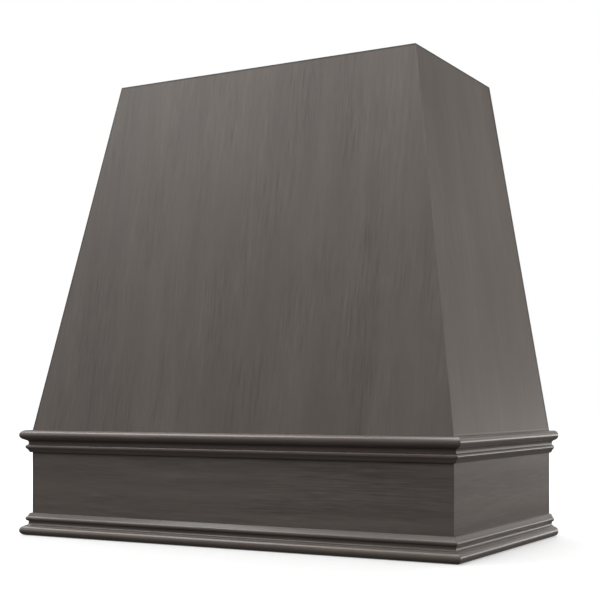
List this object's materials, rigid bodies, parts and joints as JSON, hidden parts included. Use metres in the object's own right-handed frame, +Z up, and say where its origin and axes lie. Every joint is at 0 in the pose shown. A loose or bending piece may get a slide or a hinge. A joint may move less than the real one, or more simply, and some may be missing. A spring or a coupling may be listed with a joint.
{
  "type": "wooden range hood cover",
  "caption": "Wall-hung tapered wooden range hood cover with a mitred apron, matching nose-and-bead mouldings, an open top and a shelf cut out for a ventilation insert.",
  "frame": {"origin": "middle of the bottom of the whole cover's box: halfway across the width, halfway between the wall plane and the front mouldings' nose tips, on the plane of the apron's bottom edge", "axes": "+Z up, +Y towards the wall that the cover hangs on, -Y towards the room, +X to the right as seen from the room"},
  "size_m": [0.9524, 0.5144, 0.9144],
  "materials": {
    "stained_body_panel": "satin dark grey-brown stain, upright grain",
    "stained_apron_board": "satin dark grey-brown stain, level grain",
    "stained_moulding": "satin dark grey-brown stain, level grain",
    "raw_framing_wood": "bare planed poplar",
    "raw_plywood": "bare sanded plywood",
    "zinc_screw": "zinc plated"
  },
  "bodies": {
    "root": {"apron_corner_block_left": "raw_framing_wood", "apron_corner_block_right": "raw_framing_wood", "apron_front": "stained_apron_board", "apron_left": "stained_apron_board", "apron_post_left": "raw_framing_wood", "apron_post_right": "raw_framing_wood", "apron_right": "stained_apron_board", "body_corner_block_left": "raw_framing_wood", "body_corner_block_right": "raw_framing_wood", "body_stile_left": "raw_framing_wood", "body_stile_right": "raw_framing_wood", "front_panel": "stained_body_panel", "insert_shelf": "raw_plywood", "ledger_front": "raw_framing_wood", "ledger_left": "raw_framing_wood", "ledger_right": "raw_framing_wood", "left_side_panel": "stained_body_panel", "lower_moulding_front": "stained_moulding", "lower_moulding_left": "stained_moulding", "lower_moulding_right": "stained_moulding", "lower_wall_rail": "raw_framing_wood", "rail_screws": "zinc_screw", "right_side_panel": "stained_body_panel", "seam_cleat_front": "raw_framing_wood", "seam_cleat_left": "raw_framing_wood", "seam_cleat_right": "raw_framing_wood", "shelf_screws": "zinc_screw", "top_rail_front": "raw_framing_wood", "top_rail_left": "raw_framing_wood", "top_rail_right": "raw_framing_wood", "upper_moulding_front": "stained_moulding", "upper_moulding_left": "stained_moulding", "upper_moulding_right": "stained_moulding", "upper_wall_rail": "raw_framing_wood"}
  },
  "joints": []
}
